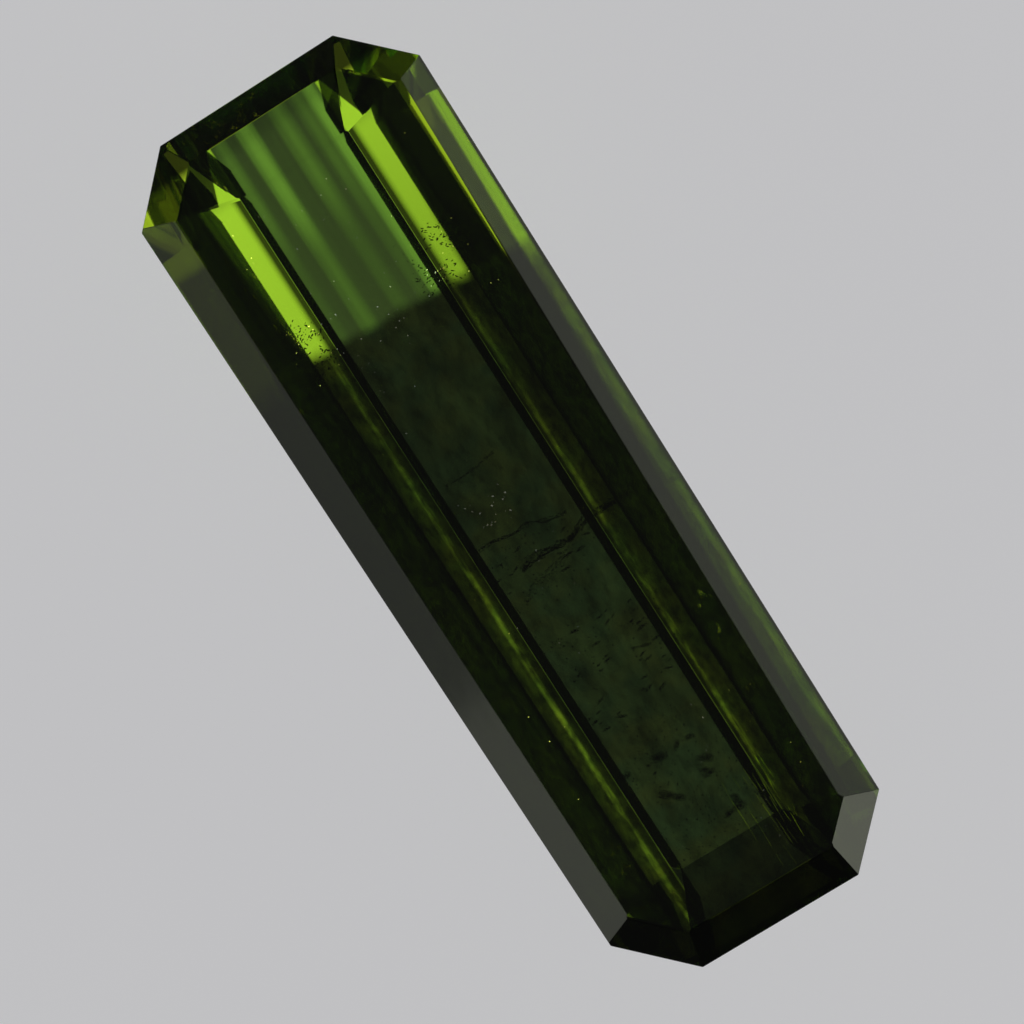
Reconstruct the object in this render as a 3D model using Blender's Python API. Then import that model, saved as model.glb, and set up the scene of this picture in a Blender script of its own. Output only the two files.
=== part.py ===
"""A step-cut tourmaline, ground facet by facet from a block, lying on its culet.

Metres, +Z up. The stone is long in X, with its light-coloured end at -X. The table is on
top. The origin is on the culet, the narrow flat underneath, at mid length and width.
"""

from math import asin, atan2, cos, pi, radians, sin, sqrt, tan

import bmesh
import bpy
import numpy as np
from mathutils import Vector

# The girdle's outline from above: a long octagon, a little wider at its light end.
LENGTH = 0.0150
WIDTH_AT_LIGHT_END = 0.00504
WIDTH_AT_DARK_END = 0.00470
CORNER_LEG = 0.00097
DARK_END_SKEW = radians(-2.0)

# The girdle is a thin upright band between the crown above and the pavilion below.
GIRDLE_HEIGHT = 0.00013

# A row is a ring of facets. Its rise is its upright height, and then come its facets'
# tilts from level, by kind, and how far each kind is swung out of line with the girdle's
# side. Left and right are as seen from the dark end. The last row only eases the ends into
# the culet.
CROWN_ROWS = (
    {
        "rise": 0.00044,
        "swing": {"left side": radians(-0.41)},
        "left side": radians(41.3),
        "right side": radians(41.3),
        "light end": radians(44.0),
        "dark end": radians(37.1),
        "corner": radians(41.9),
    },
    {
        "rise": 0.00045,
        "swing": {
            "left side": radians(-0.54),
            "right side": radians(0.54),
            "light end": radians(0.3),
            "dark end": radians(0.3),
            "corner": radians(0.3),
        },
        "left side": radians(24.8),
        "right side": radians(24.8),
        "light end": radians(26.9),
        "dark end": radians(26.9),
        "corner": radians(27.3),
    },
)
PAVILION_ROWS = (
    {
        "rise": 0.00037,
        "swing": {},
        "left side": radians(64.5),
        "right side": radians(60.0),
        "light end": radians(74.0),
        "dark end": radians(73.0),
        "corner": radians(74.0),
    },
    {
        "rise": 0.00102,
        "swing": {"left side": radians(-0.36)},
        "left side": radians(53.4),
        "right side": radians(56.6),
        "light end": radians(73.5),
        "dark end": radians(71.5),
        "corner": radians(72.0),
    },
    {
        "rise": 0.00058,
        "swing": {"left side": radians(-0.36), "right side": radians(0.36)},
        "left side": radians(53.3),
        "right side": radians(51.3),
        "light end": radians(73.0),
        "dark end": radians(67.0),
        "corner": radians(70.0),
    },
    {
        "rise": 0.00033,
        "swing": {},
        "light end": radians(20.5),
        "dark end": radians(22.5),
        "corner": radians(35.0),
    },
)

# The block that the stone is ground from stands clear of the finished stone all round.
BLOCK_MARGIN = 0.001
ON_THE_PLANE = 1e-8

GREEN = (0.030, 0.085, 0.012, 1.0)
POLISH = 0.03
REFRACTIVE_INDEX = 1.63


def clear_scene():
    for obj in list(bpy.data.objects):
        bpy.data.objects.remove(obj, do_unlink=True)


def collection_named(name):
    collection = bpy.data.collections.new(name)
    bpy.context.scene.collection.children.link(collection)
    return collection


def green_tourmaline():
    material = bpy.data.materials.new("green tourmaline")
    material.use_nodes = True
    surface = material.node_tree.nodes["Principled BSDF"].inputs
    surface["Base Color"].default_value = GREEN
    surface["Roughness"].default_value = POLISH
    surface["Metallic"].default_value = 0.0
    surface["IOR"].default_value = REFRACTIVE_INDEX
    surface["Transmission Weight"].default_value = 1.0
    material.diffuse_color = GREEN
    return material


def heading(azimuth):
    return np.array((cos(azimuth), sin(azimuth)))


def meeting_point(first, second):
    """Where two straight sides of the outline would meet, if their corner weren't cut."""
    headings = np.array((heading(first["azimuth"]), heading(second["azimuth"])))
    return np.linalg.solve(headings, (first["reach"], second["reach"]))


def corner_between(first, second):
    """The short side that cuts CORNER_LEG off both of its neighbours."""
    out = heading(first["azimuth"]) + heading(second["azimuth"])
    azimuth = atan2(out[1], out[0])
    sharp = meeting_point(first, second) @ heading(azimuth)
    return {"kind": "corner", "azimuth": azimuth, "reach": sharp - CORNER_LEG / sqrt(2)}


def outline():
    """The girdle's eight sides, each with a kind, an azimuth and a distance from the axis."""
    taper = asin((WIDTH_AT_LIGHT_END - WIDTH_AT_DARK_END) / 2 / LENGTH)
    reach = (WIDTH_AT_LIGHT_END + WIDTH_AT_DARK_END) / 4 * cos(taper)
    straight = (
        {"kind": "dark end", "azimuth": DARK_END_SKEW, "reach": LENGTH / 2},
        {"kind": "right side", "azimuth": pi / 2 - taper, "reach": reach},
        {"kind": "light end", "azimuth": pi, "reach": LENGTH / 2},
        {"kind": "left side", "azimuth": taper - pi / 2, "reach": reach},
    )
    neighbours = straight[1:] + straight[:1]
    corners = [corner_between(*pair) for pair in zip(straight, neighbours)]
    return [*straight, *corners]


def block(bottom, top):
    stone = bmesh.new()
    bmesh.ops.create_cube(stone, size=1.0)
    size = (LENGTH + BLOCK_MARGIN, WIDTH_AT_LIGHT_END + BLOCK_MARGIN, top - bottom)
    bmesh.ops.scale(stone, vec=size, verts=stone.verts)
    bmesh.ops.translate(stone, vec=(0.0, 0.0, (top + bottom) / 2), verts=stone.verts)
    return stone


def grind(stone, point, normal):
    """One flat facet: what lies beyond the plane is ground away and the wound closed."""
    cut = bmesh.ops.bisect_plane(
        stone,
        geom=[*stone.verts, *stone.edges, *stone.faces],
        dist=ON_THE_PLANE,
        plane_co=point,
        plane_no=normal,
        clear_outer=True,
    )
    rim = [item for item in cut["geom_cut"] if isinstance(item, bmesh.types.BMEdge)]
    bmesh.ops.holes_fill(stone, edges=rim)


def grind_row(stone, sides, row, height, way):
    """A ring of facets from this height, upwards for way 1 and downwards for way -1.

    Returns the outline that is left at the row's far edge, and that edge's height.
    """
    left = []
    for side in sides:
        tilt = row[side["kind"]]
        swing = row["swing"].get(side["kind"], 0.0)
        out = Vector((*heading(side["azimuth"] + swing), 0.0))
        normal = out * sin(tilt) + Vector((0.0, 0.0, way * cos(tilt)))
        grind(stone, out * side["reach"] + Vector((0.0, 0.0, height)), normal)
        left.append({**side, "reach": side["reach"] - row["rise"] / tan(tilt)})
    return left, height + way * row["rise"]


def rise_of(rows):
    return sum(row["rise"] for row in rows)


def step_cut_stone():
    girdle_bottom = rise_of(PAVILION_ROWS)
    girdle_top = girdle_bottom + GIRDLE_HEIGHT
    stone = block(0.0, girdle_top + rise_of(CROWN_ROWS))
    for side in outline():
        out = Vector((*heading(side["azimuth"]), 0.0))
        grind(stone, out * side["reach"], out)
    for rows, height, way in ((CROWN_ROWS, girdle_top, 1), (PAVILION_ROWS, girdle_bottom, -1)):
        sides = outline()
        for row in rows:
            sides = [side for side in sides if side["kind"] in row]
            sides, height = grind_row(stone, sides, row, height, way)
    centre_over_origin(stone)
    bmesh.ops.recalc_face_normals(stone, faces=stone.faces)
    return stone


def centre_over_origin(stone):
    corners = np.array([vert.co[:] for vert in stone.verts])
    middle = (corners.min(axis=0) + corners.max(axis=0)) / 2
    bmesh.ops.translate(stone, vec=(-middle[0], -middle[1], 0.0), verts=stone.verts)


def add_part(name, shape, material, collection):
    mesh = bpy.data.meshes.new(name)
    shape.to_mesh(mesh)
    shape.free()
    mesh.materials.append(material)
    part = bpy.data.objects.new(name, mesh)
    collection.objects.link(part)
    return part


def main():
    clear_scene()
    parts = collection_named("tourmaline")
    add_part("cut_stone", step_cut_stone(), green_tourmaline(), parts)


main()
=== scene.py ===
import math

import bmesh
import bpy
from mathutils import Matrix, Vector


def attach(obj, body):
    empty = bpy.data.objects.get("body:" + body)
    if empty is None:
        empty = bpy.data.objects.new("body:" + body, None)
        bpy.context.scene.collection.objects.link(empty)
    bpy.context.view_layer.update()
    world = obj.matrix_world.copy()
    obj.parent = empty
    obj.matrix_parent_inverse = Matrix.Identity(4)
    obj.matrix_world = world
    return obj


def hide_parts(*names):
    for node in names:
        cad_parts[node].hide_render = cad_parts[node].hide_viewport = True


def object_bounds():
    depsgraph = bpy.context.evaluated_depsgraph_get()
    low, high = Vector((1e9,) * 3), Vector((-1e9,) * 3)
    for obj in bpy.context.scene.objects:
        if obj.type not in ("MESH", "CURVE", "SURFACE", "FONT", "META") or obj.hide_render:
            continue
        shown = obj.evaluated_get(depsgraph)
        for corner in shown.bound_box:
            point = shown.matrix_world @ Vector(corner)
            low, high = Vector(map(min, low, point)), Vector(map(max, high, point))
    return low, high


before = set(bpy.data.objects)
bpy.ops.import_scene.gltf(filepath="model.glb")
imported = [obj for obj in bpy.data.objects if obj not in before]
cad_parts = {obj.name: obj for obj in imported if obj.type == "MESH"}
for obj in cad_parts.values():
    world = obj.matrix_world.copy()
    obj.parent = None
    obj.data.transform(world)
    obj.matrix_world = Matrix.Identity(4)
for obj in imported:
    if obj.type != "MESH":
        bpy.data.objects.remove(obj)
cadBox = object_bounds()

mm = 0.001
stoneNode = "cut_stone"
tableHeight = cadBox[1].z / mm
white = (1.0, 1.0, 1.0, 1.0)

# settings that many nodes share. A Mix node's sockets are 0 for the factor, then 2 and 3 for
# numbers or 6 and 7 for colours. A Random Value node's are 0 and 1 for vectors or 2 and 3 for
# numbers, and 8 for the seed.
times = {"operation": "MULTIPLY"}
plus = {"operation": "ADD"}
minus = {"operation": "SUBTRACT"}
soft = {"interpolation_type": "SMOOTHSTEP"}
tinted = {"data_type": "RGBA", "blend_type": "MULTIPLY"}
blended = {"data_type": "RGBA", "blend_type": "MIX"}
single = {"data_type": "FLOAT"}


def linear(hexColour):
    # sRGB hex to the linear values that Blender's sockets hold
    parts = [int(hexColour[i:i + 2], 16) / 255 for i in (1, 3, 5)]
    return [p / 12.92 if p <= 0.04045 else ((p + 0.055) / 1.055) ** 2.4 for p in parts] + [1.0]


def addNode(tree, kind, sockets=None, **settings):
    # one node with its settings: each socket takes a value, or a link from another node's output
    node = tree.nodes.new(kind)
    for name, value in settings.items():
        setattr(node, name, value)
    for socket, value in (sockets or {}).items():
        if isinstance(value, bpy.types.NodeSocket):
            tree.links.new(value, node.inputs[socket])
        else:
            node.inputs[socket].default_value = value
    return node.outputs


def newMaterial(name):
    material = bpy.data.materials.new(name)
    material.use_nodes = True
    tree = material.node_tree
    return material, tree, tree.nodes["Principled BSDF"].inputs


def newPiece(name, mesh, material):
    piece = bpy.data.objects.new(name, mesh)
    bpy.context.scene.collection.objects.link(piece)
    piece.data.materials.clear()
    piece.data.materials.append(material)
    return piece


stone = {
    "edgeWidth": 0.014,             # mm, the worn flat along each ridge
    "leastBend": 1.0,               # degrees between two facets that count as a ridge
    "mostBend": 0.05,               # and between two triangles that count as one facet
    "mergeWithin": 1e-4,            # mm, corners that count as one
    "cutWithin": 1e-6,              # mm, corners that count as lying on a cut
    "index": 1.63,                  # tourmaline
    "haze": 0.05,                   # roughness of the hand-polished top
    "sideHaze": 0.04,               # and of the facets below it
    "volume": "#f7fbe1",            # what 1 mm of the crystal lets through
    "pale": "#cefd50",              # the pale end, through the whole depth
    "darkBlue": "#848d9c",          # how much less the rest lets through, in patches
    "darkOlive": "#98908a",
    # how the noises, and the mm along, turn into shares of that
    "patches": {"From Min": 0.3, "From Max": 0.7, "To Min": 0.4, "To Max": 1.75},
    "smoke": {"From Min": 0.32, "From Max": 0.5, "To Min": 0.5, "To Max": 1.05},
    "deepening": {"From Min": -1.0, "From Max": 4.5, "To Min": 0.78, "To Max": 1.2},
    "hues": {"From Min": 0.42, "From Max": 0.58},
    "rowTop": 2.870,                # mm, the ridge between the two rings of crown facets
    "rowBlur": 0.003,               # inside the worn flat, where a change of tint can't show
    "tableBlur": (0.0005, 0.0025),  # mm under the table, the same for its rim
    "girdleTop": 2.43,
    "girdleBlur": 0.02,
    "zoneEdge": -3.45,              # mm, where the pale end stops
    "zoneBlur": 0.13,
    "zoneWander": 0.16,
    "zoneLean": 0.06,               # the edge isn't quite square to the stone
    "middle": "#161580",            # the middle under the table, painted darker as shade
    "stripe": "#6377ff",            # and its paler growth stripes
    "middleHalf": 0.95,             # mm, half its width
    "middleBlur": 0.02,
    # stripes: mm from the axis, half width, strength at the pale tip and by the zone edge
    "stripes": ((-0.80, 0.17, 0.24, 0.05), (-0.35, 0.20, 0.80, 0.17), (0.22, 0.20, 0.26, 0.06),
                (0.60, 0.17, 0.14, 0.06), (0.82, 0.16, 1.0, 0.80)),
    "stripeFade": (-6.0, -4.7),     # mm along, from the one strength to the other
    "stripeWobble": 0.06,           # mm
    "silkLight": {"To Min": -0.02, "To Max": 0.025},        # fine streaks all over the middle
    "stripEdge": (1.42, 1.56),      # mm from the axis, where the painted light strip beside the table ends
    "stripInner": (1.03, 1.16),     # and where it starts
    "stripAt": 4.85,                # mm from the stone's middle, where its outer edge is as given
    "stripLean": 0.055,             # it narrows towards the dark end
    "stripNarrower": 0.09,          # mm, and the right one is narrower than the left
    "stripRight": 0.70,             # the right strip's painted light is weaker
    "stripFade": (0.76, 0.58),      # and each fades towards the dark end: left, right
    "stripFadeAt": {"From Min": -6.0, "From Max": -3.7},    # mm along
    "stripGap": 0.007,              # painted shade: how little light is painted between the table and the strip
    "paleFlank": 0.03,              # and beyond the strip
    # painted shade on the flanks in the dark zone, left then right: side, painted glow and the mm that
    # it spans, then the thread of growth tubes with its painted light, its half width and its strength
    "flanks": ((-1.0, 0.009, 0.99, 1.14, 1.38, 1.12, 0.060, 0.22),
               (1.0, 0.005, 0.98, 1.08, 1.22, 1.055, 0.055, 0.11)),
    # painted shade: how dark the flank is painted at its darkest
    "flankFloor": 0.0015,
    "flankFar": (1.38, 1.50, 0.20), # mm from the axis, and how far the painted shade lifts beyond
    # the grit that breaks up both, and the breaks and growing strength of the thread
    "flankGrit": {"From Min": 0.38, "From Max": 0.62, "To Min": 0.35, "To Max": 1.75},
    "threadEnd": (5.8, 6.0),        # mm along
    "pastThread": 0.30,             # how much of the glow is left there
    "threadBreaks": {"From Min": 0.36, "From Max": 0.60},
    "threadGrowth": {"From Min": -2.0, "From Max": 3.5, "To Min": 0.5, "To Max": 1.3},
    "cornerLine": (0.277, -5.883),  # slope and start of the ridge beside the pale corner facets
    "cornerShade": (0.35, 3.47),    # slope and start of the painted shade on those facets
    "cornerBlur": 0.03,             # mm
    "cornerDark": 0.006,
    "bandLeft": 0.03,               # painted shade on the left girdle band past the tip of the pale end
    "bandTip": (-5.80, -5.55),      # mm along
    "bandRight": (0.04, 0.75),      # painted shade on the right band in the dark zone, inner and outer part
    "bandRightAt": (2.16, 2.30),    # mm from the axis
    "bandWave": 0.06,
    "caps": ((-6.75, -7.03), (6.62, 6.90)),     # mm along, where painted shade darkens the ends' outer facets
    "leftCap": 0.75,                # mm, how much sooner the dark end's darkens on the left
    "capDark": 0.006,
    "farFacet": 0.10,               # painted shade on the dark end's facet next to the table
    "ringTint": (1.6, 1.0, 1.0, 1.0),           # the outer ring's light is painted a yellower green
    # how unevenly hazy the hand polish is
    "rubbing": {"From Min": 0.3, "From Max": 0.8, "To Min": 0.7, "To Max": 1.3},
    "ridgeDark": "#a4b488",
    "ridgePale": "#fbfff4",
    "ridgeDim": 0.035,              # how much less the ridges shine in the dark zone
    "ridgeClear": 0.25,
    "ridgeHaze": 0.35,
    "ridgeChips": (4.0, 3.0),       # cycles in a millimetre, detail
    # noise: cycles in a millimetre, detail, and how it is drawn out along the stone
    "clouds": {
        "wander": (1.4, 3.0, (1.0, 1.0, 1.0)),
        "mottle": (2.0, 4.0, (0.6, 1.3, 1.0)),
        "smoke": (5.5, 5.0, (0.7, 1.2, 1.0)),
        "thread": (5.0, 3.0, (0.22, 1.6, 1.0)),
        "grit": (9.0, 4.0, (0.6, 1.0, 1.0)),
        "silk": (9.0, 2.0, (0.03, 1.0, 0.03)),
        "rubbed": (9.0, 4.0, (0.3, 1.0, 1.0)),
    },
}


def easedRidges(shape):
    # each ridge between two facets gets a narrow flat, and the solid stays closed
    shape.normal_update()
    cuts = []
    for ridge in shape.edges:
        first, second = (face.normal for face in ridge.link_faces)
        bend = first.angle(second)
        if bend > math.radians(stone["leastBend"]):
            out = (first + second).normalized()
            depth = stone["edgeWidth"] / 2 * math.tan(bend / 2)
            cuts.append((ridge.verts[0].co - out * depth, out))
    for point, out in cuts:
        cut = bmesh.ops.bisect_plane(
            shape, geom=[*shape.verts, *shape.edges, *shape.faces],
            dist=stone["cutWithin"], plane_co=point, plane_no=out, clear_outer=True)
        rim = [item for item in cut["geom_cut"] if isinstance(item, bmesh.types.BMEdge)]
        for flat in bmesh.ops.holes_fill(shape, edges=rim)["faces"]:
            flat.material_index = 1
    return len(cuts)


def stoneMesh():
    # worked on in millimetres, where the tiny flats are well clear of rounding
    shape = bmesh.new()
    shape.from_mesh(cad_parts[stoneNode].data)
    bmesh.ops.scale(shape, vec=(1 / mm,) * 3, verts=shape.verts)
    bmesh.ops.remove_doubles(shape, verts=shape.verts, dist=stone["mergeWithin"])
    bmesh.ops.dissolve_limit(shape, angle_limit=math.radians(stone["mostBend"]),
                             verts=shape.verts, edges=shape.edges)
    ridges = easedRidges(shape)
    bmesh.ops.recalc_face_normals(shape, faces=shape.faces)
    bmesh.ops.scale(shape, vec=(mm,) * 3, verts=shape.verts)
    mesh = bpy.data.meshes.new("tourmalineStone")
    shape.to_mesh(mesh)
    shape.free()
    print("stone:", ridges, "ridges,", len(mesh.polygons), "facets")
    return mesh


def fillWithCrystal(tree):
    volume = addNode(tree, "ShaderNodeVolumeAbsorption",
                     {"Color": linear(stone["volume"]), "Density": 1 / mm})[0]
    tree.links.new(volume, tree.nodes["Material Output"].inputs["Volume"])


def growthStripes(tree, place, silk):
    # how far the middle's colour turns to that of its paler growth stripes
    wobble = addNode(tree, "ShaderNodeMapRange", {0: silk, "To Min": -stone["stripeWobble"],
                                                  "To Max": stone["stripeWobble"]})[0]
    across = addNode(tree, "ShaderNodeMath", {0: place["across"], 1: wobble}, **plus)[0]
    light = addNode(tree, "ShaderNodeMapRange", {0: silk, **stone["silkLight"]})[0]
    start, end = stone["stripeFade"]
    for centre, half, tip, edge in stone["stripes"]:
        strength = addNode(tree, "ShaderNodeMapRange",
                           {0: place["along"], "From Min": start, "From Max": end,
                            "To Min": tip, "To Max": edge}, **soft)[0]
        off = addNode(tree, "ShaderNodeMath", {0: across, 1: centre}, **minus)[0]
        off = addNode(tree, "ShaderNodeMath", {0: off}, operation="ABSOLUTE")[0]
        stripe = addNode(tree, "ShaderNodeMapRange",
                         {0: off, "From Min": half, "From Max": 0.0}, **soft)[0]
        light = addNode(tree, "ShaderNodeMath", {0: stripe, 1: strength, 2: light},
                        operation="MULTIPLY_ADD")[0]
    return light


def paintedFlankShade(tree, place, threads, grit):
    # painted shade beside the table in the dark zone, with a dim painted glow and the painted light of
    # a bright thread of growth tubes, which strengthens towards the far end and stops short of it
    start, end = stone["threadEnd"]
    here = addNode(tree, "ShaderNodeMapRange",
                   {0: place["along"], "From Min": end, "From Max": start,
                    "To Min": stone["pastThread"]}, **soft)[0]
    grit = addNode(tree, "ShaderNodeMapRange", {0: grit, **stone["flankGrit"]})[0]
    here = addNode(tree, "ShaderNodeMath", {0: here, 1: grit}, **times)[0]
    growing = addNode(tree, "ShaderNodeMapRange",
                      {0: place["along"], **stone["threadGrowth"]})[0]
    threads = addNode(tree, "ShaderNodeMath", {0: threads, 1: growing}, **times)[0]
    near, far, clear = stone["flankFar"]
    total = addNode(tree, "ShaderNodeMapRange",
                    {0: place["off"], "From Min": near, "From Max": far,
                     "To Min": stone["flankFloor"], "To Max": clear}, **soft)[0]
    total = addNode(tree, "ShaderNodeMath", {0: total, 1: here}, **times)[0]
    for side, glow, inner, crest, outer, line, half, strength in stone["flanks"]:
        out = addNode(tree, "ShaderNodeMath", {0: place["across"], 1: side}, **times)[0]
        rise = addNode(tree, "ShaderNodeMapRange",
                       {0: out, "From Min": inner, "From Max": crest, "To Max": glow}, **soft)[0]
        fall = addNode(tree, "ShaderNodeMapRange",
                       {0: out, "From Min": outer, "From Max": crest}, **soft)[0]
        # the dim painted glow across the flank
        haze = addNode(tree, "ShaderNodeMath", {0: rise, 1: fall}, **times)[0]
        off = addNode(tree, "ShaderNodeMath", {0: out, 1: line}, **minus)[0]
        off = addNode(tree, "ShaderNodeMath", {0: off}, operation="ABSOLUTE")[0]
        bright = addNode(tree, "ShaderNodeMapRange",
                         {0: off, "From Min": half, "From Max": 0.0, "To Max": strength}, **soft)[0]
        bright = addNode(tree, "ShaderNodeMath", {0: bright, 1: threads, 2: haze},
                         operation="MULTIPLY_ADD")[0]
        total = addNode(tree, "ShaderNodeMath", {0: bright, 1: here, 2: total},
                        operation="MULTIPLY_ADD")[0]
    return total


def paintedStripLight(tree, place):
    # painted light and shade beside the table in the pale zone: a painted light strip, then nearly
    # black painted shade
    onRight = addNode(tree, "ShaderNodeMath", {0: place["across"], 1: 0.0},
                      operation="GREATER_THAN")[0]
    lean = addNode(tree, "ShaderNodeMath",
                   {0: place["along"], 1: stone["stripLean"], 2: place["off"]},
                   operation="MULTIPLY_ADD")[0]
    lean = addNode(tree, "ShaderNodeMath", {0: onRight, 1: stone["stripNarrower"], 2: lean},
                   operation="MULTIPLY_ADD")[0]
    inner, outer = (edge - stone["stripAt"] * stone["stripLean"] for edge in stone["stripEdge"])
    strip = addNode(tree, "ShaderNodeMapRange",
                    {0: lean, "From Min": outer, "From Max": inner,
                     "To Min": stone["paleFlank"]}, **soft)[0]
    start, full = stone["stripInner"]
    gap = addNode(tree, "ShaderNodeMapRange",
                  {0: place["off"], "From Min": start, "From Max": full,
                   "To Min": stone["stripGap"]}, **soft)[0]
    strip = addNode(tree, "ShaderNodeMath", {0: strip, 1: gap}, **times)[0]
    left, right = stone["stripFade"]
    tip = addNode(tree, "ShaderNodeMapRange", {0: onRight, "To Min": 1.0,
                                               "To Max": stone["stripRight"]})[0]
    edge = addNode(tree, "ShaderNodeMapRange", {0: onRight, "To Min": left,
                                                "To Max": stone["stripRight"] * right})[0]
    fading = addNode(tree, "ShaderNodeMapRange", {0: place["along"], **stone["stripFadeAt"],
                                                  "To Min": tip, "To Max": edge})[0]
    return addNode(tree, "ShaderNodeMath", {0: strip, 1: fading}, **times)[0]


def paintedCornerShade(tree, place):
    # painted light and shade on the corner facets beside the pale tip: clear next to the table's
    # corner, painted shade beyond it
    slope, start = stone["cornerShade"]
    reach = addNode(tree, "ShaderNodeMath", {0: place["along"], 1: slope, 2: start},
                    operation="MULTIPLY_ADD")[0]
    reach = addNode(tree, "ShaderNodeMath", {0: place["off"], 1: reach}, **minus)[0]
    return addNode(tree, "ShaderNodeMapRange",
                   {0: reach, "From Min": 0.0, "From Max": stone["cornerBlur"],
                    "To Min": 1.0, "To Max": stone["cornerDark"]}, **soft)[0]


def paintedGirdleShade(tree, place, inDark, threads):
    # painted shade on the outer ring of facets: dark caps at both ends, and dim bands along the sides
    start, end = stone["bandTip"]
    left = addNode(tree, "ShaderNodeMapRange", {0: place["along"], "From Min": start,
                                                "From Max": end, "To Min": 1.0,
                                                "To Max": stone["bandLeft"]}, **soft)[0]
    inner, outer = stone["bandRightAt"]
    wavy = addNode(tree, "ShaderNodeMath",
                   {0: threads, 1: -stone["bandWave"], 2: place["across"]},
                   operation="MULTIPLY_ADD")[0]
    right = addNode(tree, "ShaderNodeMapRange", {0: wavy, "From Min": inner, "From Max": outer,
                                                 "To Min": stone["bandRight"][0],
                                                 "To Max": stone["bandRight"][1]}, **soft)[0]
    right = addNode(tree, "ShaderNodeMix", {0: inDark, 2: 1.0, 3: right}, **single)[0]
    onRight = addNode(tree, "ShaderNodeMath", {0: place["across"], 1: 0.0},
                      operation="GREATER_THAN")[0]
    band = addNode(tree, "ShaderNodeMix", {0: onRight, 2: left, 3: right}, **single)[0]
    sooner = addNode(tree, "ShaderNodeMapRange", {0: onRight, "To Min": stone["leftCap"],
                                                  "To Max": 0.0})[0]
    sooner = addNode(tree, "ShaderNodeMath", {0: place["along"], 1: sooner}, **plus)[0]
    for reach, (start, end) in zip((place["along"], sooner), stone["caps"]):
        cap = addNode(tree, "ShaderNodeMapRange",
                      {0: reach, "From Min": start, "From Max": end,
                       "To Min": 1.0, "To Max": stone["capDark"]}, **soft)[0]
        band = addNode(tree, "ShaderNodeMath", {0: band, 1: cap}, **times)[0]
    return band


def zoneColour(tree, place, cloud, inDark):
    # pale lime, and patchy bottle green beyond the zone edge
    patches = addNode(tree, "ShaderNodeMapRange", {0: cloud["mottle"], **stone["patches"]})[0]
    smoke = addNode(tree, "ShaderNodeMapRange", {0: cloud["smoke"], **stone["smoke"]})[0]
    deep = addNode(tree, "ShaderNodeMapRange", {0: place["along"], **stone["deepening"]}, **soft)[0]
    deep = addNode(tree, "ShaderNodeMath", {0: deep, 1: patches}, **times)[0]
    deep = addNode(tree, "ShaderNodeMath", {0: deep, 1: smoke}, **times)[0]
    hue = addNode(tree, "ShaderNodeMapRange", {0: cloud["wander"], **stone["hues"]}, **soft)[0]
    dark = addNode(tree, "ShaderNodeMix", {0: hue, 6: linear(stone["darkBlue"]),
                                           7: linear(stone["darkOlive"])}, **blended)[2]
    dark = addNode(tree, "ShaderNodeMix", {0: 1.0, 6: dark, 7: deep}, **tinted)[2]
    dark = addNode(tree, "ShaderNodeMix", {0: inDark, 6: white, 7: dark}, **blended)[2]
    return addNode(tree, "ShaderNodeMix", {0: 1.0, 6: linear(stone["pale"]), 7: dark},
                   **tinted)[2]


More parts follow.
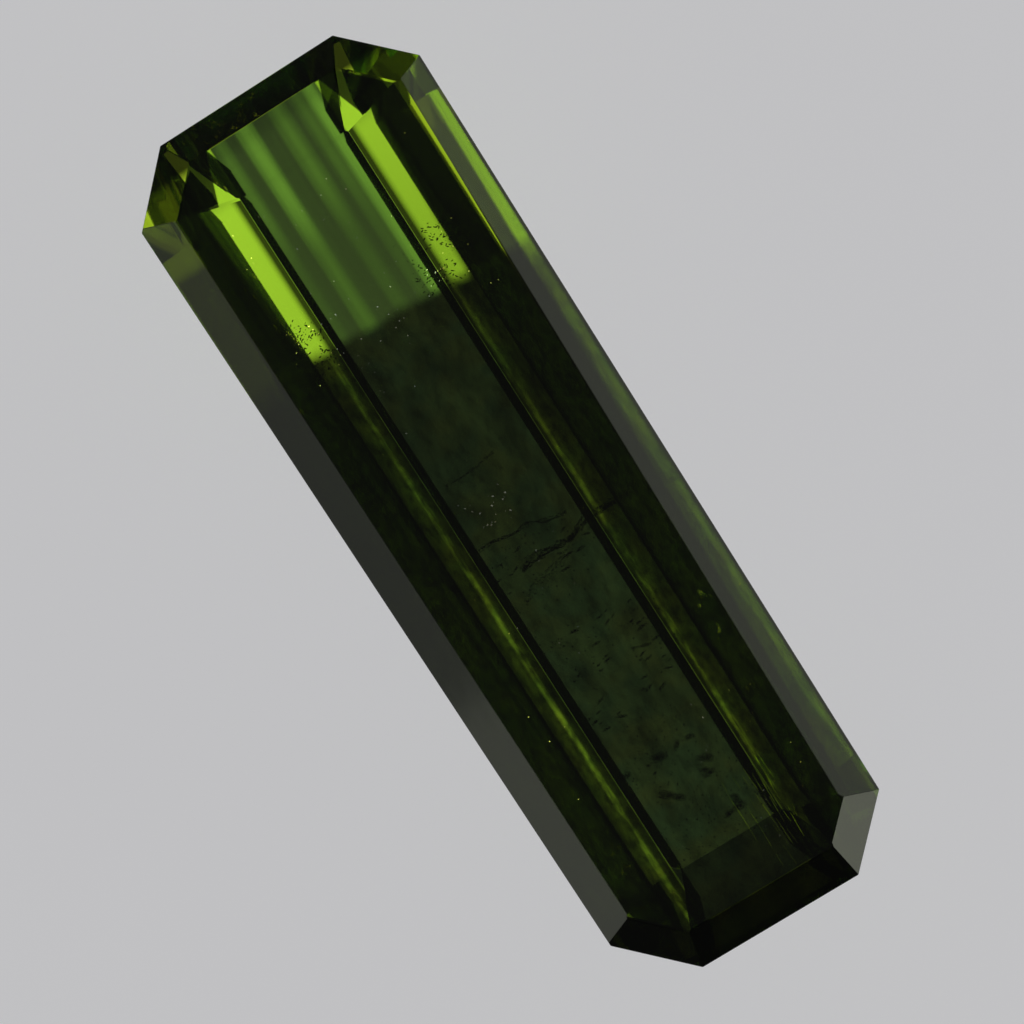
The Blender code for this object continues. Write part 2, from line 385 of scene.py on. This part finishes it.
def polishedTourmaline():
    # elbaite cut and polished: clear with hardly any haze, pale lime at one end and bottle green
    # beyond it. Growth left stripes along the stone, which show in its middle, painted darker as
    # shade. Painted light and shade also lie on the flanks, corner facets and outer ring.
    material, tree, surface = newMaterial("polished green tourmaline")
    surface["IOR"].default_value = stone["index"]
    surface["Transmission Weight"].default_value = 1.0
    fillWithCrystal(tree)
    coords = addNode(tree, "ShaderNodeTexCoord")["Object"]
    spot = addNode(tree, "ShaderNodeVectorMath", {0: coords, "Scale": 1 / mm}, operation="SCALE")[0]
    along, across, up = addNode(tree, "ShaderNodeSeparateXYZ", {0: spot})
    off = addNode(tree, "ShaderNodeMath", {0: across}, operation="ABSOLUTE")[0]
    place = {"along": along, "across": across, "off": off}
    cloud = {}
    for name, (scale, detail, stretch) in stone["clouds"].items():
        drawn = addNode(tree, "ShaderNodeMapping", {"Vector": spot, "Scale": stretch})[0]
        cloud[name] = addNode(tree, "ShaderNodeTexNoise",
                              {"Vector": drawn, "Scale": scale, "Detail": detail})[0]

    edge, blur, wander = stone["zoneEdge"], stone["zoneBlur"], stone["zoneWander"]
    wander = addNode(tree, "ShaderNodeMapRange",
                     {0: cloud["wander"], "To Min": -wander, "To Max": wander})[0]
    leaning = addNode(tree, "ShaderNodeVectorMath", {0: spot, 1: (1.0, -stone["zoneLean"], 0.0)},
                      operation="DOT_PRODUCT")["Value"]
    leaning = addNode(tree, "ShaderNodeMath", {0: leaning, 1: wander}, **plus)[0]
    inDark = addNode(tree, "ShaderNodeMapRange",
                     {0: leaning, "From Min": edge - blur, "From Max": edge + blur}, **soft)[0]
    row, blur = stone["rowTop"], stone["rowBlur"]
    onTop = addNode(tree, "ShaderNodeMapRange",
                    {0: up, "From Min": row - blur, "From Max": row + blur}, **soft)[0]
    high, low = (tableHeight - drop for drop in stone["tableBlur"])
    onSlope = addNode(tree, "ShaderNodeMapRange", {0: up, "From Min": high, "From Max": low},
                      **soft)[0]
    half, blur = stone["middleHalf"], stone["middleBlur"]
    onFlank = addNode(tree, "ShaderNodeMapRange",
                      {0: off, "From Min": half - blur, "From Max": half + blur}, **soft)[0]
    onFlank = addNode(tree, "ShaderNodeMath", {0: onFlank, 1: onSlope}, **times)[0]

    # the middle, painted darker as shade, whose stripes end with the pale zone
    stripes = growthStripes(tree, place, cloud["silk"])
    stripes = addNode(tree, "ShaderNodeMix", {0: inDark, 2: stripes, 3: 0.0}, **single)[0]
    middle = addNode(tree, "ShaderNodeMix", {0: stripes, 6: linear(stone["middle"]),
                                             7: linear(stone["stripe"])}, **blended)[2]
    inMiddle = addNode(tree, "ShaderNodeMix", {0: onFlank, 2: onTop, 3: 0.0}, **single)[0]
    colour = zoneColour(tree, place, cloud, inDark)
    colour = addNode(tree, "ShaderNodeMix", {0: inMiddle, 6: colour, 7: middle}, **tinted)[2]

    # painted light and shade on the flanks beside it, the corner facets, and the outer ring
    threads = addNode(tree, "ShaderNodeMapRange",
                      {0: cloud["thread"], **stone["threadBreaks"]}, **soft)[0]
    flank = addNode(tree, "ShaderNodeMix", {0: inDark, 2: paintedStripLight(tree, place),
                                            3: paintedFlankShade(tree, place, threads, cloud["grit"])},
                    **single)[0]
    slope, start = stone["cornerLine"]
    ridge = addNode(tree, "ShaderNodeMath", {0: off, 1: slope, 2: along},
                    operation="MULTIPLY_ADD")[0]
    pastCorner = addNode(tree, "ShaderNodeMath", {0: ridge, 1: start}, operation="GREATER_THAN")[0]
    flank = addNode(tree, "ShaderNodeMix", {0: pastCorner, 2: paintedCornerShade(tree, place), 3: flank},
                    **single)[0]
    # painted shade on the dark end's facet next to the table
    onFarFacet = addNode(tree, "ShaderNodeMath", {0: onSlope, 1: inDark}, **times)[0]
    farFacet = addNode(tree, "ShaderNodeMix", {0: onFarFacet, 2: 1.0, 3: stone["farFacet"]},
                       **single)[0]
    top = addNode(tree, "ShaderNodeMix", {0: onFlank, 2: farFacet, 3: flank}, **single)[0]
    girdle = stone["girdleTop"]
    onCrown = addNode(tree, "ShaderNodeMapRange",
                      {0: up, "From Min": girdle - stone["girdleBlur"], "From Max": girdle},
                      **soft)[0]
    ring = addNode(tree, "ShaderNodeMix",
                   {0: onCrown, 2: 1.0, 3: paintedGirdleShade(tree, place, inDark, threads)}, **single)[0]
    shade = addNode(tree, "ShaderNodeMix", {0: onTop, 2: ring, 3: top}, **single)[0]
    # the outer ring's light is painted a yellower green
    onRing = addNode(tree, "ShaderNodeMix", {0: onTop, 2: onCrown, 3: 0.0}, **single)[0]
    colour = addNode(tree, "ShaderNodeMix", {0: onRing, 6: colour, 7: stone["ringTint"]},
                     **tinted)[2]
    colour = addNode(tree, "ShaderNodeMix", {0: 1.0, 6: colour, 7: shade}, **tinted)[2]

    tree.links.new(colour, surface["Base Color"])
    rubbed = addNode(tree, "ShaderNodeMapRange", {0: cloud["rubbed"], **stone["rubbing"]})[0]
    haze = addNode(tree, "ShaderNodeMapRange",
                   {0: onTop, "To Min": stone["sideHaze"], "To Max": stone["haze"]})[0]
    haze = addNode(tree, "ShaderNodeMath", {0: rubbed, 1: haze}, **times)[0]
    tree.links.new(haze, surface["Roughness"])
    return material


def wornTourmaline():
    # the same crystal where its ridges have rubbed: a frosted hair of light along each
    material, tree, surface = newMaterial("worn tourmaline ridge")
    surface["IOR"].default_value = stone["index"]
    surface["Transmission Weight"].default_value = stone["ridgeClear"]
    surface["Roughness"].default_value = stone["ridgeHaze"]
    coords = addNode(tree, "ShaderNodeTexCoord")["Object"]
    cycles, detail = stone["ridgeChips"]
    chips = addNode(tree, "ShaderNodeTexNoise",
                    {"Vector": coords, "Scale": cycles / mm, "Detail": detail})[0]
    tone = addNode(tree, "ShaderNodeMix", {0: chips, 6: linear(stone["ridgeDark"]),
                                           7: linear(stone["ridgePale"])}, **blended)[2]
    along = addNode(tree, "ShaderNodeSeparateXYZ", {0: coords})["X"]
    edge, blur = stone["zoneEdge"] * mm, stone["zoneBlur"] * mm
    dim = addNode(tree, "ShaderNodeMapRange",
                  {0: along, "From Min": edge - blur, "From Max": edge + blur, "To Min": 1.0,
                   "To Max": stone["ridgeDim"]}, **soft)[0]
    tone = addNode(tree, "ShaderNodeMix", {0: 1.0, 6: tone, 7: dim}, **tinted)[2]
    tree.links.new(tone, surface["Base Color"])
    fillWithCrystal(tree)
    return material


tourmaline = newPiece("tourmalineStone", stoneMesh(), polishedTourmaline())
tourmaline.data.materials.append(wornTourmaline())
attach(tourmaline, "root")
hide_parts(stoneNode)


# what is shut in the crystal: sizes and places in mm, turns in degrees, clumps in a millimetre
inclusions = {
    "boundaryPinpointsLeft": {
        "Count": 300, "Low": (-4.20, -1.55, 2.25), "High": (-3.15, -0.85, 2.75), "Size": 0.0085,
        "Stretch": (1.0, 2.4, 1.0), "Turn": (30, 30, 80), "Clumps": 3.0, "Gaps": 0.47,
        "Soft": False, "Seed": 3, "fluid": "ink"},
    "boundaryPinpointsRight": {
        "Count": 340, "Low": (-4.35, 0.60, 2.35), "High": (-3.35, 1.60, 2.75), "Size": 0.008,
        "Stretch": (1.0, 2.8, 1.0), "Turn": (30, 30, 50), "Clumps": 3.0, "Gaps": 0.47,
        "Soft": False, "Seed": 8, "fluid": "ink"},
    # painted glints: pale grains that glow by themselves
    "boundaryGlints": {
        "Count": 60, "Low": (-4.20, -1.50, 2.45), "High": (-3.20, 1.50, 2.78), "Size": 0.007,
        "Stretch": (1.0, 1.6, 1.0), "Turn": (90, 90, 90), "Clumps": 3.0, "Gaps": 0.48,
        "Soft": False, "Seed": 12, "fluid": "glint"},
    "inkyNeedles": {
        "Count": 120, "Low": (0.5, -0.85, 2.6), "High": (3.6, 0.75, 3.15), "Size": 0.014,
        "Stretch": (1.0, 3.4, 0.8), "Turn": (0, 0, 24), "Clumps": 1.1, "Gaps": 0.50,
        "Soft": True, "Seed": 5, "fluid": "smoke"},
    "smokyDrops": {
        "Count": 16, "Low": (4.3, -0.80, 2.5), "High": (5.9, 0.60, 3.05), "Size": 0.040,
        "Stretch": (1.0, 1.8, 0.6), "Turn": (0, 0, 40), "Clumps": 0.9, "Gaps": 0.40,
        "Soft": True, "Seed": 14, "fluid": "smoke"},
    "fineDust": {
        "Count": 900, "Low": (0.4, -0.84, 1.6), "High": (6.0, 0.84, 3.2), "Size": 0.008,
        "Stretch": (1.0, 1.3, 1.0), "Turn": (90, 90, 90), "Clumps": 0.8, "Gaps": 0.47,
        "Soft": False, "Seed": 21, "fluid": "ink"},
    # growth tubes with a painted glow
    "growthTubes": {
        "Count": 28, "Low": (5.25, 0.35, 2.72), "High": (6.7, 1.08, 2.80), "Size": 0.0065,
        "Stretch": (34.0, 1.0, 1.0), "Turn": (0, 2, 4), "Clumps": 1.2, "Gaps": 0.40,
        "Soft": False, "Seed": 4, "fluid": "tube"},
    # painted glints: pale grains that glow by themselves
    "paintedGlintCluster": {
        "Count": 22, "Low": (-0.5, -0.70, 2.6), "High": (0.2, 0.10, 3.1), "Size": 0.009,
        "Stretch": (1.0, 1.4, 1.0), "Turn": (90, 90, 90), "Clumps": 1.5, "Gaps": 0.40,
        "Soft": False, "Seed": 9, "fluid": "glint"},
    # painted glints: pale grains that glow by themselves
    "paintedGlintCrystals": {
        "Count": 150, "Low": (-6.0, -1.6, 2.3), "High": (6.4, 1.6, 2.78), "Size": 0.0075,
        "Stretch": (1.0, 1.0, 1.0), "Turn": (90, 90, 90), "Clumps": 0.5, "Gaps": 0.45,
        "Soft": False, "Seed": 30, "fluid": "glint"},
}


grainShape = {
    "lumps": 1.3,                   # cycles of noise over a pebble's radius
    "sizes": (0.45, 1.6),           # the least and the most, as shares of Size
    "veil": (1.5, 1.5, 1.5),        # a soft grain's outer shell, against its middle one
    "core": (0.6, 0.6, 0.6),
}


def strewnGrains():
    # grains strewn through a box in millimetres, none where a slow noise falls under Gaps. Each
    # is a lumpy pebble, drawn out by Stretch and turned by up to Turn; a Soft one has three shells.
    tree = bpy.data.node_groups.new("strewnGrains", "GeometryNodeTree")
    for name, kind in (("Count", "Int"), ("Low", "Vector"), ("High", "Vector"), ("Size", "Float"),
                       ("Stretch", "Vector"), ("Turn", "Vector"), ("Clumps", "Float"),
                       ("Gaps", "Float"), ("Soft", "Bool"), ("Seed", "Int"),
                       ("Material", "Material")):
        tree.interface.new_socket(name, in_out="INPUT", socket_type="NodeSocket" + kind)
    tree.interface.new_socket("Geometry", in_out="OUTPUT", socket_type="NodeSocketGeometry")
    given = addNode(tree, "NodeGroupInput")
    place = addNode(tree, "FunctionNodeRandomValue",
                    {0: given["Low"], 1: given["High"], 8: given["Seed"]}, data_type="FLOAT_VECTOR")[0]
    points = addNode(tree, "GeometryNodePoints", {"Count": given["Count"], "Position": place})[0]
    where = addNode(tree, "GeometryNodeInputPosition")[0]
    slow = addNode(tree, "ShaderNodeTexNoise", {"Vector": where, "Scale": given["Clumps"]})[0]
    bare = addNode(tree, "FunctionNodeCompare", {0: slow, 1: given["Gaps"]},
                   data_type="FLOAT", operation="LESS_THAN")[0]
    points = addNode(tree, "GeometryNodeDeleteGeometry", {0: points, "Selection": bare},
                     domain="POINT")[0]
    pebble = addNode(tree, "GeometryNodeMeshIcoSphere", {"Radius": 1.0, "Subdivisions": 1})[0]
    lumps = addNode(tree, "ShaderNodeTexNoise",
                    {"Vector": where, "Scale": grainShape["lumps"]})["Color"]
    middling = (0.5, 0.5, 0.5)              # what the noise averages to
    lumps = addNode(tree, "ShaderNodeVectorMath", {0: lumps, 1: middling}, **minus)[0]
    pebble = addNode(tree, "GeometryNodeSetPosition", {0: pebble, "Offset": lumps})[0]
    veil = addNode(tree, "GeometryNodeTransform", {0: pebble, "Scale": grainShape["veil"]})[0]
    core = addNode(tree, "GeometryNodeTransform", {0: pebble, "Scale": grainShape["core"]})[0]
    shells = addNode(tree, "GeometryNodeJoinGeometry")[0]
    for shell in (core, pebble, veil):
        tree.links.new(shell, shells.node.inputs[0])
    pebble = addNode(tree, "GeometryNodeSwitch",
                     {"Switch": given["Soft"], "False": pebble, "True": shells},
                     input_type="GEOMETRY")[0]
    swing = addNode(tree, "FunctionNodeRandomValue",
                    {0: (-1.0, -1.0, -1.0), 1: (1.0, 1.0, 1.0), 8: given["Seed"]},
                    data_type="FLOAT_VECTOR")[0]
    swing = addNode(tree, "ShaderNodeVectorMath", {0: swing, 1: given["Turn"]}, **times)[0]
    swing = addNode(tree, "ShaderNodeVectorMath", {0: swing, "Scale": math.radians(1.0)},
                    operation="SCALE")[0]
    swing = addNode(tree, "FunctionNodeEulerToRotation", {0: swing})[0]
    least, most = grainShape["sizes"]
    size = addNode(tree, "FunctionNodeRandomValue", {2: least, 3: most, 8: given["Seed"]},
                   data_type="FLOAT")[1]
    size = addNode(tree, "ShaderNodeMath", {0: size, 1: given["Size"]}, **times)[0]
    size = addNode(tree, "ShaderNodeVectorMath", {0: given["Stretch"], "Scale": size},
                   operation="SCALE")[0]
    grains = addNode(tree, "GeometryNodeInstanceOnPoints",
                     {"Points": points, "Instance": pebble, "Rotation": swing, "Scale": size})[0]
    grains = addNode(tree, "GeometryNodeTransform", {0: grains, "Scale": (mm,) * 3})[0]
    grains = addNode(tree, "GeometryNodeRealizeInstances", {0: grains})[0]
    grains = addNode(tree, "GeometryNodeSetMaterial", {0: grains, "Material": given["Material"]})[0]
    addNode(tree, "NodeGroupOutput", {0: grains})
    return tree


fissures = {
    # a sheet of tiny fluid drops, seen nearly edge-on: length and height in mm, how far it
    # waves, drops in a square mm, drop size, middle in mm, lean and turn in degrees
    "fissureLong": {
        "Length": 2.2, "Height": 0.9, "Wave": 0.14, "Density": 1500.0, "Drop": 0.012,
        "Place": (0.78, 0.68, 2.45), "Turn": (86, 0, 96), "Gaps": 0.40, "Seed": 2},
    "fissureFaint": {
        "Length": 1.5, "Height": 0.7, "Wave": 0.12, "Density": 900.0, "Drop": 0.011,
        "Place": (0.34, -0.10, 2.7), "Turn": (87, 0, 82), "Gaps": 0.42, "Seed": 6},
    "fissureShort": {
        "Length": 1.1, "Height": 0.6, "Wave": 0.12, "Density": 900.0, "Drop": 0.011,
        "Place": (1.15, -0.12, 2.75), "Turn": (83, 0, 104), "Gaps": 0.42, "Seed": 11},
    "fissureEnd": {
        "Length": 0.9, "Height": 0.5, "Wave": 0.10, "Density": 700.0, "Drop": 0.010,
        "Place": (-0.85, -0.25, 2.8), "Turn": (87, 0, 92), "Gaps": 0.43, "Seed": 17},
}


dropShape = {
    "sheetVertices": (40, 16),      # along and up
    "waves": (1.6, 3.0),            # cycles in a millimetre, detail
    "waveReach": 2.0,               # the noise seldom gets near its ends, so it is drawn out
    "patches": 4.0,                 # cycles in a millimetre
    "tilt": 0.5,                    # radians, the most that a drop leaves the sheet by
    "sizes": (0.4, 1.5),            # the least and the most, as shares of Drop
    "flattened": (1.5, 1.0, 0.45),
}


def dropletSheet():
    # a wavy sheet of flat drops, left bare in patches, laid on its place in millimetres
    tree = bpy.data.node_groups.new("dropletSheet", "GeometryNodeTree")
    for name, kind in (("Length", "Float"), ("Height", "Float"), ("Wave", "Float"),
                       ("Density", "Float"), ("Drop", "Float"), ("Place", "Vector"),
                       ("Turn", "Vector"), ("Gaps", "Float"), ("Seed", "Int"),
                       ("Material", "Material")):
        tree.interface.new_socket(name, in_out="INPUT", socket_type="NodeSocket" + kind)
    tree.interface.new_socket("Geometry", in_out="OUTPUT", socket_type="NodeSocketGeometry")
    given = addNode(tree, "NodeGroupInput")
    along, up = dropShape["sheetVertices"]
    sheet = addNode(tree, "GeometryNodeMeshGrid",
                    {"Size X": given["Length"], "Size Y": given["Height"],
                     "Vertices X": along, "Vertices Y": up})[0]
    where = addNode(tree, "GeometryNodeInputPosition")[0]
    cycles, detail = dropShape["waves"]
    wave = addNode(tree, "ShaderNodeTexNoise",
                   {"Vector": where, "W": given["Seed"], "Scale": cycles, "Detail": detail},
                   noise_dimensions="4D")[0]
    reach = dropShape["waveReach"]
    wave = addNode(tree, "ShaderNodeMapRange", {0: wave, "To Min": -reach, "To Max": reach})[0]
    wave = addNode(tree, "ShaderNodeMath", {0: wave, 1: given["Wave"]}, **times)[0]
    wave = addNode(tree, "ShaderNodeCombineXYZ", {"Z": wave})[0]
    sheet = addNode(tree, "GeometryNodeSetPosition", {0: sheet, "Offset": wave})[0]
    patches = addNode(tree, "ShaderNodeTexNoise",
                      {"Vector": where, "W": given["Seed"], "Scale": dropShape["patches"]},
                      noise_dimensions="4D")[0]
    covered = addNode(tree, "FunctionNodeCompare", {0: patches, 1: given["Gaps"]},
                      data_type="FLOAT", operation="GREATER_THAN")[0]
    points = addNode(tree, "GeometryNodeDistributePointsOnFaces",
                     {"Mesh": sheet, "Selection": covered, "Density": given["Density"],
                      "Seed": given["Seed"]})[0]
    drop = addNode(tree, "GeometryNodeMeshIcoSphere", {"Radius": 1.0, "Subdivisions": 1})[0]
    tilt = dropShape["tilt"]
    spin = addNode(tree, "FunctionNodeRandomValue",
                   {0: (-tilt, -tilt, 0.0), 1: (tilt, tilt, math.tau), 8: given["Seed"]},
                   data_type="FLOAT_VECTOR")[0]
    spin = addNode(tree, "FunctionNodeEulerToRotation", {0: spin})[0]
    least, most = dropShape["sizes"]
    size = addNode(tree, "FunctionNodeRandomValue", {2: least, 3: most, 8: given["Seed"]},
                   data_type="FLOAT")[1]
    size = addNode(tree, "ShaderNodeMath", {0: size, 1: given["Drop"]}, **times)[0]
    size = addNode(tree, "ShaderNodeVectorMath", {0: dropShape["flattened"], "Scale": size},
                   operation="SCALE")[0]
    drops = addNode(tree, "GeometryNodeInstanceOnPoints",
                    {"Points": points, "Instance": drop, "Rotation": spin, "Scale": size})[0]
    turn = addNode(tree, "ShaderNodeVectorMath", {0: given["Turn"], "Scale": math.radians(1.0)},
                   operation="SCALE")[0]
    turn = addNode(tree, "FunctionNodeEulerToRotation", {0: turn})[0]
    drops = addNode(tree, "GeometryNodeTransform",
                    {0: drops, "Translation": given["Place"], "Rotation": turn})[0]
    drops = addNode(tree, "GeometryNodeTransform", {0: drops, "Scale": (mm,) * 3})[0]
    drops = addNode(tree, "GeometryNodeRealizeInstances", {0: drops})[0]
    drops = addNode(tree, "GeometryNodeSetMaterial", {0: drops, "Material": given["Material"]})[0]
    addNode(tree, "NodeGroupOutput", {0: drops})
    return tree


fluidLook = {
    "haze": 0.4,                    # roughness
    "cycles": 3.0,                  # in a millimetre, from darker to paler
    "contrast": {"From Min": 0.35, "From Max": 0.65},
}


def inclusionFluid(name, dark, pale, cover, glow):
    # fluid, grit and hollow tubes shut in the crystal: smoky where they hold back the light, and
    # whitish painted glints, glowing by themselves, where they would catch it
    material, tree, surface = newMaterial(name)
    surface["Roughness"].default_value = fluidLook["haze"]
    surface["Alpha"].default_value = cover
    coords = addNode(tree, "ShaderNodeTexCoord")["Object"]
    tone = addNode(tree, "ShaderNodeTexNoise",
                   {"Vector": coords, "Scale": fluidLook["cycles"] / mm})[0]
    tone = addNode(tree, "ShaderNodeMapRange", {0: tone, **fluidLook["contrast"]})[0]
    tone = addNode(tree, "ShaderNodeMix", {0: tone, 6: linear(dark), 7: linear(pale)},
                   **blended)[2]
    tree.links.new(tone, surface["Base Color"])
    tree.links.new(tone, surface["Emission Color"])
    surface["Emission Strength"].default_value = glow
    material.cycles.emission_sampling = "NONE"      # far too small to light anything
    return material


def grownMesh(name, tree, settings, material):
    # the tree's result as a plain mesh; its inputs are set before it is first evaluated
    seedbed = bpy.data.objects.new(name + "Seedbed", bpy.data.meshes.new(name + "Seedbed"))
    bpy.context.scene.collection.objects.link(seedbed)
    growth = seedbed.modifiers.new("growth", "NODES")
    growth.node_group = tree
    for item in tree.interface.items_tree:
        if item.name in settings:
            growth[item.identifier] = settings[item.name]
        elif item.name == "Material":
            growth[item.identifier] = material
    depsgraph = bpy.context.evaluated_depsgraph_get()
    mesh = bpy.data.meshes.new_from_object(seedbed.evaluated_get(depsgraph), depsgraph=depsgraph)
    mesh.name = name
    seedbed.modifiers.remove(growth)
    bpy.data.objects.remove(seedbed)
    return mesh


# each from its darker to its paler colour, then how much it covers and how strongly it glows as
# painted light
fluids = {
    "ink": inclusionFluid("inky fluid inclusion", "#060803", "#161a0c", 0.75, 0.0),
    "smoke": inclusionFluid("smoky fluid inclusion", "#050803", "#12180b", 0.21, 0.0),
    "veil": inclusionFluid("healed fissure fluid", "#040702", "#10160a", 0.22, 0.0),
    "glint": inclusionFluid("pale fluid inclusion with painted glint", "#b7a878", "#fff4d0", 0.6, 3.5),
    "tube": inclusionFluid("hollow growth tube with painted glow", "#8fa818", "#ecff38", 0.5, 1.2),
}
grainTree, sheetTree = strewnGrains(), dropletSheet()
for name, settings in inclusions.items():
    material = fluids[settings["fluid"]]
    grains = newPiece(name, grownMesh(name, grainTree, settings, material), material)
    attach(grains, "root")
    print(name + ":", len(grains.data.polygons), "faces")
for name, settings in fissures.items():
    drops = newPiece(name, grownMesh(name, sheetTree, settings, fluids["veil"]), fluids["veil"])
    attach(drops, "root")
    print(name + ":", len(drops.data.polygons), "faces")


studio = {
    "floorSize": 1.2,               # m
    "floorDrop": 0.02,              # mm under the culet
    "card": "#bababb",
    "cardHaze": 0.9,                # roughness
    "cardSheen": 0.1,               # specular level, low for uncoated card
    "cardMottle": (600.0, 3.0, 0.02),           # cycles in a metre, detail, how far it goes
    "cardLight": (1.0, 0.995, 1.03, 1.0),
    "cardGlow": 0.50,
    "paintedLightUnder": 0.70,              # painted light right under the culet, where it fills in the stone's shadow on the card
    "underHalf": {"X": 6.35, "Y": 1.10},        # mm
    "underBlur": 0.25,
    "skyTop": 0.055,
    "skyEdge": 0.35,
    "skyFade": {"From Min": 0.10, "From Max": 0.55},        # from eye level up
    "endDark": 0.11,
    "endFade": {"From Min": 0.72, "From Max": 0.95},
    "endRise": 1.6,                 # the dark ends reach less far up than they are wide
    "roomTint": (0.94, 1.0, 0.86),
    "panelTint": (0.95, 1.0, 0.80),
    # soft panels: place and aim in m, width and height in m, radiance
    "panels": (((0.0, 0.42, 0.11), (0.0, 0.0, 0.0), (0.55, 0.20), 0.20),
               ((0.132, -0.42, 0.11), (0.132, 0.0, 0.0), (0.25, 0.20), 0.33),
               ((0.302, 0.288, 0.045), (0.0, 0.0, 0.0), (0.14, 0.10), 1.4)),
}


def matteCard():
    # matt white card, lit from under as on a light table, so the clear stone has light behind it
    material, tree, surface = newMaterial("matt white card")
    surface["Roughness"].default_value = studio["cardHaze"]
    surface["Specular IOR Level"].default_value = studio["cardSheen"]
    surface["Emission Color"].default_value = studio["cardLight"]
    coords = addNode(tree, "ShaderNodeTexCoord")["Object"]
    cycles, detail, reach = studio["cardMottle"]
    tone = addNode(tree, "ShaderNodeTexNoise",
                   {"Vector": coords, "Scale": cycles, "Detail": detail})[0]
    tone = addNode(tree, "ShaderNodeMapRange",
                   {0: tone, "To Min": 1.0 - reach, "To Max": 1.0 + reach})[0]
    card = addNode(tree, "ShaderNodeMix", {0: 1.0, 6: linear(studio["card"]), 7: tone}, **tinted)[2]
    tree.links.new(card, surface["Base Color"])
    spot = addNode(tree, "ShaderNodeSeparateXYZ", {0: coords})
    near = []
    for side, half in studio["underHalf"].items():
        off = addNode(tree, "ShaderNodeMath", {0: spot[side]}, operation="ABSOLUTE")[0]
        near.append(addNode(tree, "ShaderNodeMapRange", {
            0: off, "From Min": half * mm, "From Max": (half - studio["underBlur"]) * mm}, **soft)[0])
    # painted light under the culet, filling in the stone's shadow
    under = addNode(tree, "ShaderNodeMath", {0: near[0], 1: near[1]}, **times)[0]
    glow = addNode(tree, "ShaderNodeMapRange", {0: under, "To Min": studio["cardGlow"],
                                                "To Max": studio["paintedLightUnder"]})[0]
    tree.links.new(glow, surface["Emission Strength"])
    return material


def buildFloor():
    shape = bmesh.new()
    bmesh.ops.create_grid(shape, x_segments=1, y_segments=1, size=studio["floorSize"] / 2)
    bmesh.ops.translate(shape, vec=(0.0, 0.0, -studio["floorDrop"] * mm), verts=shape.verts)
    mesh = bpy.data.meshes.new("cardFloor")
    shape.to_mesh(mesh)
    shape.free()
    newPiece("cardFloor", mesh, matteCard())


def buildWorld():
    # a soft room: grey at eye level, dark overhead and beyond the stone's two ends
    world = bpy.data.worlds.new("softRoom")
    world.use_nodes = True
    tree = world.node_tree
    coords = addNode(tree, "ShaderNodeTexCoord")["Generated"]
    direction = addNode(tree, "ShaderNodeSeparateXYZ", {0: coords})
    strength = addNode(tree, "ShaderNodeMapRange",
                       {0: direction["Z"], **studio["skyFade"],
                        "To Min": studio["skyEdge"], "To Max": studio["skyTop"]}, **soft)[0]
    sideways = addNode(tree, "ShaderNodeMath", {0: direction["Y"]}, operation="ABSOLUTE")[0]
    raised = addNode(tree, "ShaderNodeMath", {0: direction["Z"], 1: studio["endRise"]}, **times)[0]
    steep = addNode(tree, "ShaderNodeMath", {0: raised, 1: sideways}, operation="MAXIMUM")[0]
    lit = addNode(tree, "ShaderNodeMapRange",
                  {0: steep, **studio["endFade"], "To Min": studio["endDark"]}, **soft)[0]
    strength = addNode(tree, "ShaderNodeMath", {0: strength, 1: lit}, **times)[0]
    sky = tree.nodes["Background"].inputs
    sky["Color"].default_value = (*studio["roomTint"], 1.0)
    tree.links.new(strength, sky["Strength"])
    bpy.context.scene.world = world


def buildLights():
    for i, (place, aim, size, radiance) in enumerate(studio["panels"]):
        light = bpy.data.lights.new(f"softPanel{i}", "AREA")
        light.shape = "RECTANGLE"
        light.size, light.size_y = size
        light.energy = radiance * size[0] * size[1] * math.pi
        light.color = studio["panelTint"]
        lamp = bpy.data.objects.new(light.name, light)
        bpy.context.scene.collection.objects.link(lamp)
        lamp.location = place
        lamp.rotation_euler = (Vector(aim) - lamp.location).to_track_quat("-Z", "Y").to_euler()
        lamp.visible_camera = False


camera = {
    "turn": 57.3,                   # degrees that the stone leans in the frame
    "aim": (0.042, -0.061),         # mm, the middle of the frame at the girdle
    "away": 300.0,
    "frameWidth": 15.562,
    "sensor": 36.0,
    "clip": 0.01,                   # m
}


def buildCamera():
    lens = bpy.data.cameras.new("camera")
    lens.sensor_width = camera["sensor"]
    lens.lens = camera["sensor"] * camera["away"] / camera["frameWidth"]
    lens.clip_start = camera["clip"]
    eye = bpy.data.objects.new("camera", lens)
    bpy.context.scene.collection.objects.link(eye)
    x, y = camera["aim"]
    eye.location = (x * mm, y * mm, (stone["girdleTop"] + camera["away"]) * mm)
    eye.rotation_euler = (0.0, 0.0, math.radians(camera["turn"]))
    bpy.context.scene.camera = eye


buildFloor()
buildWorld()
buildLights()
buildCamera()
print("studio: floor, room, panels and camera")

scene = bpy.context.scene
scene.view_settings.view_transform = "Standard"
bounces = 24                                # light goes round many times inside a cut stone
scene.cycles.max_bounces = bounces
scene.cycles.glossy_bounces = bounces
scene.cycles.transmission_bounces = bounces
